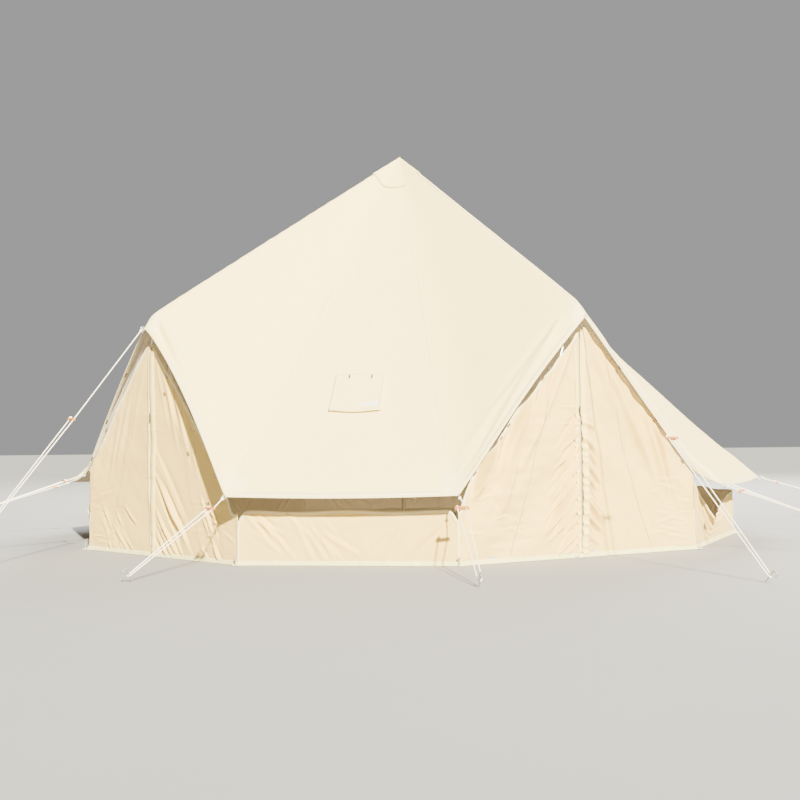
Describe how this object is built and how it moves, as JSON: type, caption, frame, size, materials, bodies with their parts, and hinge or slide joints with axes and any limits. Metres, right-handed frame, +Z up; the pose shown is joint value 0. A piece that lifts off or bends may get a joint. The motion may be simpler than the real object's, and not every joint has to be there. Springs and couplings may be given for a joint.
{
  "type": "bell tent",
  "caption": "Canvas bell tent with a centre pole, a round back, two tall framed front doors that unzip and swing, low walls, a stove flap, and pegged guy ropes.",
  "frame": {"origin": "middle of the groundsheet's underside, on the centre pole's axis", "axes": "+Z up along the centre pole; -Y towards the front low wall; +X to the right seen from the front"},
  "size_m": [9.6862, 8.7023, 3.567],
  "materials": {
    "roof_canvas": "matt cream cotton canvas",
    "wall_canvas": "matt cream cotton canvas",
    "groundsheet": "woven coated sheet",
    "heatproof_panel": "coated heatproof cloth",
    "steel_tube": "galvanised satin",
    "peg_steel": "galvanised",
    "ring_steel": "welded, plated",
    "rope": "twisted cord",
    "runner_wood": "oiled",
    "toggle_wood": "oiled",
    "webbing": "woven",
    "rubber": "matt",
    "zip_metal": "aged"
  },
  "bodies": {
    "tent": {"canopy": "roof_canvas", "apex_cap": "roof_canvas", "stove_jack_panel": "heatproof_panel", "groundsheet": "groundsheet", "wall_front": "wall_canvas", "wall_right": "wall_canvas", "wall_left": "wall_canvas", "wall_back": "wall_canvas", "right_door_frame": "steel_tube", "left_door_frame": "steel_tube", "frame_knuckles": "steel_tube", "frame_feet": "rubber", "pole_lower": "steel_tube", "pole_middle": "steel_tube", "pole_upper": "steel_tube", "pole_foot": "rubber", "pole_cap": "rubber", "rope_tip_1": "rope", "rope_tip_2": "rope", "rope_eave_1": "rope", "rope_eave_2": "rope", "rope_eave_3": "rope", "rope_eave_4": "rope", "rope_eave_5": "rope", "rope_eave_6": "rope", "rope_eave_7": "rope", "rope_eave_8": "rope", "rope_eave_9": "rope", "rope_eave_10": "rope", "rope_eave_11": "rope", "guy_pegs": "peg_steel", "guy_runners": "runner_wood", "tip_rings": "ring_steel", "eave_rings": "ring_steel", "wall_pegs": "peg_steel", "peg_loops": "webbing", "toggles": "toggle_wood"},
    "right_door_left": {"right_door_leaf_left": "wall_canvas"},
    "right_door_right": {"right_door_leaf_right": "wall_canvas"},
    "right_door_zip": {"right_door_zip_slider": "zip_metal"},
    "left_door_left": {"left_door_leaf_left": "wall_canvas"},
    "left_door_right": {"left_door_leaf_right": "wall_canvas"},
    "left_door_zip": {"left_door_zip_slider": "zip_metal"},
    "flap": {"stove_flap": "roof_canvas"}
  },
  "joints": [
    {"name": "right_door_left_swing", "type": "hinge", "parent": "tent", "child": "right_door_left", "pos_m": [1.11984, -2.65909, 0], "axis": [-0.281, -0.2042, -0.9377], "range_deg": [0, 105]},
    {"name": "right_door_right_swing", "type": "hinge", "parent": "tent", "child": "right_door_right", "pos_m": [2.18289, -1.88674, 0], "axis": [-0.281, -0.2042, 0.9377], "range_deg": [0, 105]},
    {"name": "right_door_zip_slide", "type": "slide", "parent": "right_door_left", "child": "right_door_zip", "axis": [0, 0, 1], "range_m": [-0.99, 0.47]},
    {"name": "left_door_left_swing", "type": "hinge", "parent": "tent", "child": "left_door_left", "pos_m": [-2.18289, -1.88674, 0], "axis": [-0.281, 0.2042, -0.9377], "range_deg": [0, 105]},
    {"name": "left_door_right_swing", "type": "hinge", "parent": "tent", "child": "left_door_right", "pos_m": [-1.11984, -2.65909, 0], "axis": [-0.281, 0.2042, 0.9377], "range_deg": [0, 105]},
    {"name": "left_door_zip_slide", "type": "slide", "parent": "left_door_left", "child": "left_door_zip", "axis": [0, 0, 1], "range_m": [-0.99, 0.47]},
    {"name": "stove_flap_lift", "type": "hinge", "parent": "tent", "child": "flap", "pos_m": [0, -2.2271, 1.3908], "axis": [-1, 0, 0], "range_deg": [0, 150]}
  ]
}
